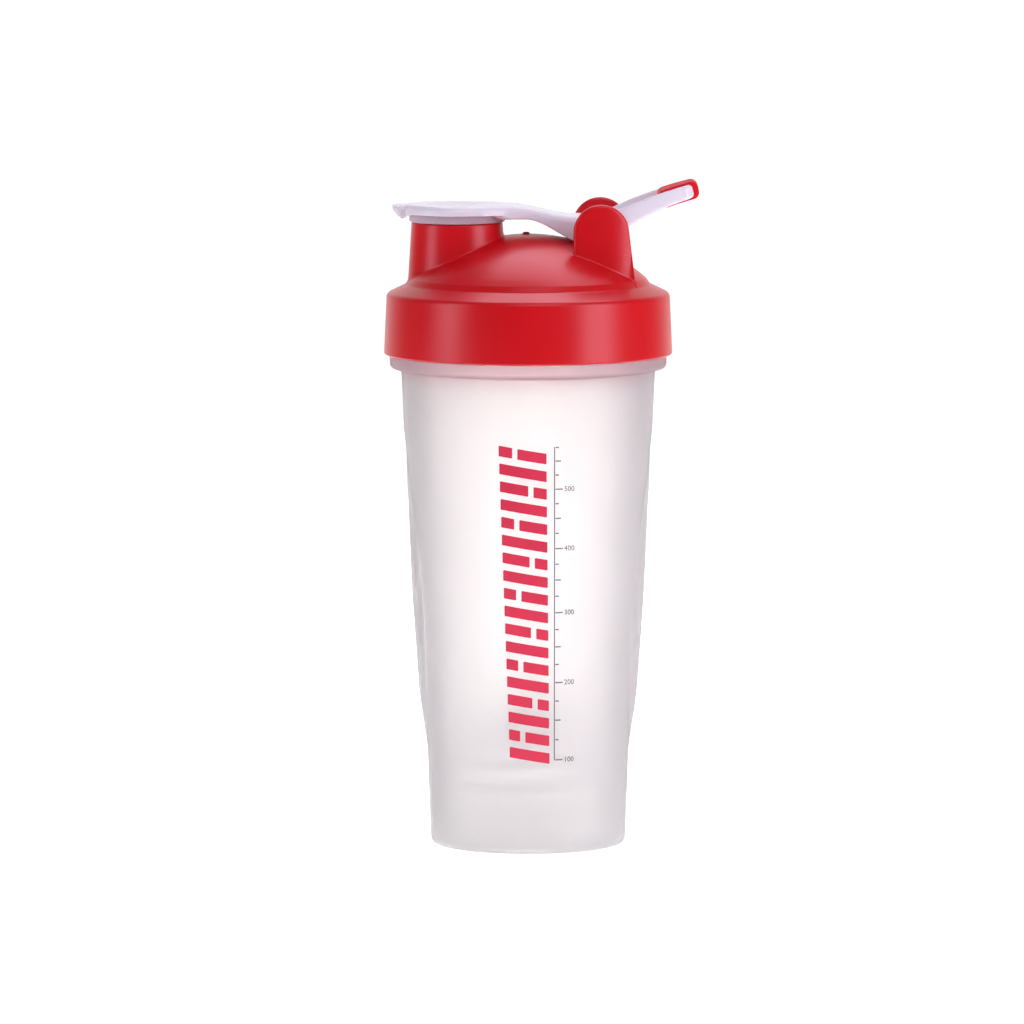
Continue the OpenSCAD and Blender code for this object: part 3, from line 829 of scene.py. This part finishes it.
stations = np.concatenate([tab_x + 4.5 * np.linspace(0.02, 1, 16) ** 2, np.linspace(tab_x + 5, hinge_x, 120)])
cap_high, cap_low = cap_side(stations)
across, upright = slab(cap_half_width(stations), cap_high, cap_low, 2.4, 0.7, 44, 8)
along = np.repeat(stations[:, None], across.shape[1], axis=1)
from_dish = np.hypot(along - spout_x, across)
dish_centre = cap_top + math.sqrt(dish_sphere**2 - dish_r**2)
dish_bottom = dish_centre - np.sqrt(dish_sphere**2 - np.minimum(from_dish, 30) ** 2)
is_top = upright > (cap_high + cap_low)[:, None] / 2
dished = np.minimum(upright, np.where(from_dish < dish_r, dish_bottom, upright))
over_seal = 1 - ease((from_dish - seal_r - 0.3) / 3)
beside = ease((np.abs(across) - np.where(along < spout_x, tab_half, arm_half + 1)) / 2)
raised = upright + np.maximum(disc_under + 0.02 - upright, 0) * np.maximum(over_seal, beside)
upright = np.where(is_top, dished, raised)
cap_body = capped(np.stack([along, across, upright], axis=2))


# %% Turned parts on the hinge
def turned(profile, steps=72):
    """A closed profile of (radius, y) turned about the hinge axis: (r cos a, y, r sin a) from the hinge."""
    a = np.linspace(0, 2 * np.pi, steps, endpoint=False)
    r, y = profile[:, 0, None], profile[:, 1, None]
    grid = np.stack([hinge_x + r * np.cos(a), y + 0 * a, hinge_z + r * np.sin(a)], axis=2)
    return quads(grid, along=True)


def ring_profile(bore, outer, y0, y1, edge):
    """A bored disc's section: a rectangle from bore to outer and y0 to y1 with its four corners rounded."""
    mid = ((bore + outer) / 2, y0, 0)
    corners = [(outer, y0, edge), (outer, y1, edge), (bore, y1, edge / 3), (bore, y0, edge / 3)]
    return rounded([mid, *corners, mid], 5)[:-1]


barrel = turned(ring_profile(pin_clear, hub_r, -barrel_half, barrel_half, 0.6))
cap_mesh = solid("flip_cap", cap_body, barrel)
piece("flip_cap", cap_mesh, "flip_cap", white_plastic, ["flip_cap"])

# %% [markdown]
# ## The seal
# A soft plug on the cap's underside fills the spout. Its skirt carries two small beads that do the sealing,
# and its flange, which shows as a pinkish line between cap and lip, cushions the closing.

# %% The cap's seal
plug_out, plug_in, plug_low = spout_in - 0.3, spout_in - 1.9, seal_lo[2]
flange_mid, flange_low = ((plug_in + seal_r) / 2, disc_under, 0), spout_top + 0.12
seal_profile = rounded([
    flange_mid, (seal_r, disc_under, 0.5), (seal_r, flange_low, 0.6), (plug_out - 0.2, flange_low, 0.3),
    (plug_out - 0.2, spout_top - 1.4, 0.2), (plug_out, spout_top - 2.0, 0.4),
    (plug_out - 0.25, spout_top - 2.8, 0.3), (plug_out, spout_top - 3.6, 0.4),
    (plug_out - 0.4, plug_low + 0.8, 0.6), (plug_out - 0.9, plug_low, 0.4), (plug_in, plug_low, 0.3),
    (plug_in, disc_under, 0.3), flange_mid,
], 4)[:-1]
seal_mesh = solid("cap_seal", quads(revolve(seal_profile, 120, (spout_x, 0)), along=True))
piece("cap_seal", seal_mesh, "flip_cap", seal_silicone, ["cap_seal"])

# %% [markdown]
# ## The carry loop
# Flat, the loop is a U: an outer outline with round corners and an inner one, cut from a thick sheet with
# its edges rounded. The sheet is thickest at the hinge and is bent over a radius of 105 mm. So the U is made
# in flat coordinates, u along the bars, y across and v through the thickness, and one function carries
# (u, y, v) onto the bend.

# %% The bend
loop_slope, tip_slope, cross_slope = math.radians(33), math.radians(14), math.radians(19.6)
loop_bend, bar_h, tip_h, bar_t = 105.0, 7.0, 4.2, 3.4
bend_x, bend_z = hinge_x + loop_bend * math.sin(loop_slope), hinge_z - loop_bend * math.cos(loop_slope)
loop_long, cross_u = loop_bend * (loop_slope - tip_slope), loop_bend * (loop_slope - cross_slope)


def bent(u, y, v):
    """Flat (u, y, v) to the bend: s = s0 - u / R, then x = cx - (R + v) sin s and z = cz + (R + v) cos s."""
    s, r = loop_slope - u / loop_bend, loop_bend + v
    return np.stack([bend_x - r * np.sin(s), y + 0 * s, bend_z + r * np.cos(s)], axis=-1)


def bar_height(u):
    """Height of the bar at u: it goes with the sine of the slope, from bar_h at the hinge to tip_h."""
    at_hinge, at_tip = math.sin(loop_slope), math.sin(tip_slope)
    share = (np.sin(loop_slope - u / loop_bend) - at_tip) / (at_hinge - at_tip)
    return tip_h + (bar_h - tip_h) * share


# %% The loop
tip_half, taper_x, cross_x = 11.5, hinge_x + 6, bend_x - loop_bend * math.sin(cross_slope)
tip_x = bend_x - loop_bend * math.sin(tip_slope)
taper = math.atan((bar_out - tip_half) / (tip_x - taper_x))


def side_y(x, inset):
    """Distance from the middle to a line that runs inset inside the loop's tapering side."""
    return bar_out - (x - taper_x) * math.tan(taper) - inset / math.cos(taper)


def u_outline(inset, end, corner, parts=5):
    """A tapering U in plan, given in flat coordinates (u, y): one bar, a corner, across, and back mirrored.

    Every outline has the same number of points, so that two of them can be joined point by point."""
    start = (hinge_x + 2.3, bar_out - inset, 0)
    bend = (taper_x, bar_out - inset, 9)
    line = rounded([start, bend, (end, side_y(end, inset), corner), (end, 0, 0)], 12)
    index = np.linspace(0, len(line) - 1, parts * (len(line) - 1) + 1)
    x, y = (np.interp(index, np.arange(len(line)), line[:, k]) for k in (0, 1))
    u = loop_bend * (loop_slope - np.arcsin((bend_x - x) / loop_bend))
    return np.vstack([np.c_[u, y][:-1], np.c_[u, -y][::-1]])


outer_u, inner_u = u_outline(0, tip_x, 4.0), u_outline(bar_t, cross_x, 1.6)
middle, reach = (outer_u + inner_u) / 2, (outer_u - inner_u) / 2
width = np.hypot(*reach.T)
bar_high = bar_height(middle[:, 0])
side_way, sheet_v = slab(width, bar_high / 2, -bar_high / 2, 1.4, 1.4, 8, 6)
flat_u = middle[:, 0, None] + reach[:, 0, None] / width[:, None] * side_way
flat_y = middle[:, 1, None] + reach[:, 1, None] / width[:, None] * side_way
eyes = [
    turned(ring_profile(pin_clear, hub_r, low, low + bar_t, 0.7)) for low in (-bar_out, bar_out - bar_t)
]
loop_mesh = solid("carry_loop", capped(bent(flat_u, flat_y, sheet_v)), *eyes)
piece("carry_loop", loop_mesh, "carry_loop", white_plastic, ["carry_loop"])

# %% [markdown]
# The grip is a soft sleeve moulded over the crossbar. Its section is a rounded rectangle that the bend
# carries with it. The sleeve ends on the slanted insides of the bars, so a row of the grid is a share of the
# way from the middle to the bar, and the last rows draw the section in a little to round the ends.

# %% The grip
sleeve_t, sleeve_past, sleeve_gap = 0.8, 2.0, 0.15
cross_mid, cross_half = (cross_u + loop_long) / 2, (loop_long - cross_u) / 2
mid_h = bar_height(cross_mid)


def ring_of(half_u, half_v, r, n=9):
    """A rounded rectangle about the crossbar's middle, as points (u, v)."""
    a = np.concatenate([np.linspace(q, q + np.pi / 2, n) for q in np.arange(4) * np.pi / 2])
    su, sv = np.repeat([1, -1, -1, 1], n), np.repeat([1, 1, -1, -1], n)
    loop = np.c_[su * (half_u - r) + r * np.cos(a), sv * (half_v - r) + r * np.sin(a)]
    return densify(np.vstack([loop, loop[:1]]), 1.2)[:-1]


def sleeve_rows(section, shares, insets):
    """Rows of a section at shares of the way to the slanted bars, each drawn in by an inset."""
    half = np.abs(section).max(axis=0)
    drawn = section[None] * (1 - insets[:, None, None] / half)
    x = bend_x - loop_bend * np.sin(loop_slope - (cross_mid + drawn[..., 0]) / loop_bend)
    y = shares[:, None] * (side_y(x, bar_t) - sleeve_gap)
    return bent(cross_mid + drawn[..., 0], y, drawn[..., 1])


turn = np.linspace(0, np.pi / 2, 6)
end_shares, end_insets = 1 - 0.08 * (1 - np.cos(turn)), 0.7 * (1 - np.sin(turn))
shares = np.concatenate([-end_shares, np.linspace(-0.9, 0.9, 19), end_shares[::-1]])
insets = np.concatenate([end_insets, np.zeros(19), end_insets[::-1]])
ring_out = ring_of(cross_half + sleeve_past, mid_h / 2 + sleeve_t, 2.4)
ring_in = ring_out * (cross_half, mid_h / 2 - 0.3) / (cross_half + sleeve_past, mid_h / 2 + sleeve_t)
sleeve_bore = sleeve_rows(ring_in, np.array([1.0, -1.0]), np.zeros(2))
sleeve = np.concatenate([sleeve_rows(ring_out, shares, insets), sleeve_bore])
grip_mesh = solid("loop_grip", quads(sleeve, along=True))
piece("loop_grip", grip_mesh, "carry_loop", red_grip, ["loop_grip"])

# %% [markdown]
# ## The whisk ball
# One wire wound from pole to pole on a sphere: polar angle p runs evenly while the azimuth turns seven times.
# The frame of the sweep is the outward direction and its cross product with the way ahead.


# %% The ball
def whisk(turns=7, pole=math.radians(16), per_turn=72, sides=14, wire=1.0):
    """Tube of radius wire about R (sin p cos a, sin p sin a, -cos p), each end drawn in to a round nose."""
    n = turns * per_turn
    nose = np.sin(np.linspace(0, np.pi / 2, 6)) * wire / (ball_r * 2 * np.pi / per_turn * math.sin(pole))
    t = np.concatenate([nose - nose[-1], np.arange(1, n), n + nose[-1] - nose[::-1]]) / n
    thin = np.ones(len(t))
    thin[:6] = np.sin(np.linspace(0.05, np.pi / 2, 6))
    thin[-6:] = thin[:6][::-1]

    def at(t):
        p, a = pole + (np.pi - 2 * pole) * t, 2 * np.pi * turns * t
        return (ball_r - wire) * np.stack([np.sin(p) * np.cos(a), np.sin(p) * np.sin(a), -np.cos(p)], axis=1)

    centre = at(t)
    ahead = at(t + 1e-4) - at(t - 1e-4)
    ahead /= np.linalg.norm(ahead, axis=1, keepdims=True)
    out = centre / np.linalg.norm(centre, axis=1, keepdims=True)
    sideways = np.cross(ahead, out)
    q = np.linspace(0, 2 * np.pi, sides, endpoint=False)[:, None]
    tube = np.cos(q) * out[:, None] + np.sin(q) * sideways[:, None]
    return centre[:, None] + wire * thin[:, None, None] * tube + (0, 0, ball_z)


piece("whisk_ball", solid("whisk_ball", capped(whisk())), "whisk_ball", drawn_steel, ["whisk_ball"])

# %% [markdown]
# ## Pieces kept from the CAD
# The hinge pin and the gasket are simple turned parts whose CAD shape is already right. They keep their
# meshes and only get a finish.

# %% Finish the CAD pieces
for name, finish in {"hinge_pin": drawn_steel, "lid_gasket": seal_silicone}.items():
    held = frame["nodes"][name]
    held.data.materials.clear()
    held.data.materials.append(finish)
    print("finish on", name, ":", finish.name)

# %% [markdown]
# ## Stage, light and camera
# A product like this is shot on a white table in a dark room: the table and a warm box behind give the
# frosted cup its glow, while the darkness in front keeps the red deep. Two tall soft boxes at the sides draw
# the upright highlights on the skirt and the spout, a third looks down from above and a little behind, and a
# fourth, high in front, fills the dome. The box behind isn't seen in reflections, because it would wash out
# the dome's upper edge. The table is white enough to lose its shadows, and its front edge is close to the
# bottle, because a gloss skirt would mirror more of it otherwise.


# %% The stage
def table():
    """A white table that glows a little, narrow beside the bottle and wider behind it."""
    near, far, front, back = 0.65, 6.0, -0.42, 40.0
    corners = [(-near, front, 0), (near, front, 0), (far, back, 0), (-far, back, 0)]
    mesh = bpy.data.meshes.new("table")
    mesh.from_pydata(corners, [], [(0, 1, 2, 3)])
    mat, _, _ = material(
        "pale table", Base_Color=(0.5, 0.5, 0.5, 1), Roughness=0.8, Specular_IOR_Level=0.0,
        Emission_Color=(1, 1, 1, 1), Emission_Strength=0.95,
    )
    mesh.materials.append(mat)
    obj = bpy.data.objects.new("table", mesh)
    bpy.context.scene.collection.objects.link(obj)


def soft_box(name, turn, tilt, away, width, height, glow, tint, mirrored=True):
    """A soft box that faces the bottle's middle from an angle round it and one above it.

    glow is its radiance, from which its power is pi times glow times its area, tint is its colour, and
    mirrored says whether the plastics may mirror it. The lens never sees it."""
    aim = Vector((0, 0, 0.14))
    a, e = math.radians(turn), math.radians(tilt)
    place = aim + away * Vector((math.sin(a) * math.cos(e), -math.cos(a) * math.cos(e), math.sin(e)))
    data = bpy.data.lights.new(name, "AREA")
    data.shape, data.size, data.size_y = "RECTANGLE", width, height
    data.energy, data.color = math.pi * glow * width * height, tint
    lamp = bpy.data.objects.new(name, data)
    lamp.visible_camera = False
    lamp.visible_glossy = mirrored
    lamp.location = place
    lamp.rotation_euler = (aim - place).to_track_quat("-Z", "Y").to_euler()
    bpy.context.scene.collection.objects.link(lamp)
    print(f"{name}: {data.energy:.1f} W at {turn} degrees round, {tilt} up")


table()
COOL, WARM = (1.0, 0.86, 1.02), (1.0, 0.98, 0.88)
soft_box("right box", 57, 12, 0.9, 0.42, 0.9, 3.9, COOL)
soft_box("left box", -66, 12, 0.9, 0.34, 0.9, 2.9, COOL)
soft_box("high box", -16, 114, 1.0, 0.7, 0.6, 2.9, COOL)
soft_box("front box", 12, 52, 1.0, 0.55, 0.45, 2.2, COOL)
soft_box("back box", 180, 5, 1.2, 0.34, 0.4, 6.6, WARM, mirrored=False)


# %% The room
def room():
    """Dim all round but for a pale patch straight behind, blended on the ray's Y; white to the lens."""
    world = bpy.data.worlds.new("room")
    world.use_nodes = True
    tree = world.node_tree
    way = node(tree, "ShaderNodeTexCoord").outputs["Generated"]
    depth = node(tree, "ShaderNodeSeparateXYZ", {0: way}).outputs["Y"]
    glow = spread(tree, depth, 0.5, 0.95, 0.13, 1.0)
    seen = node(tree, "ShaderNodeLightPath").outputs["Is Camera Ray"]
    strength = node(tree, "ShaderNodeMath", {0: seen, 1: glow}, operation="MAXIMUM").outputs[0]
    tree.links.new(strength, tree.nodes["Background"].inputs["Strength"])
    tree.nodes["Background"].inputs["Color"].default_value = (1, 1, 1, 1)
    bpy.context.scene.world = world


room()
bpy.context.scene.view_settings.view_transform = "Standard"

# %% [markdown]
# The camera is a long lens far away, so that upright lines stay upright. It looks down by six degrees, and
# its focal length is worked out so that the picture is 356 mm wide at the bottle.

# %% The camera
aim = Vector((-0.0056, 0, 0.1154))
eye = Vector((-0.0056, -3.22, 0.447))
view_wide = 1024 / 2880
lens = bpy.data.cameras.new("camera")
lens.sensor_width = 36
lens.lens = (aim - eye).length / view_wide * lens.sensor_width
lens.clip_end = 50
camera = bpy.data.objects.new("camera", lens)
camera.location = eye
camera.rotation_euler = (aim - eye).to_track_quat("-Z", "Y").to_euler()
bpy.context.scene.collection.objects.link(camera)
bpy.context.scene.camera = camera
print("lens, mm:", round(lens.lens, 1))
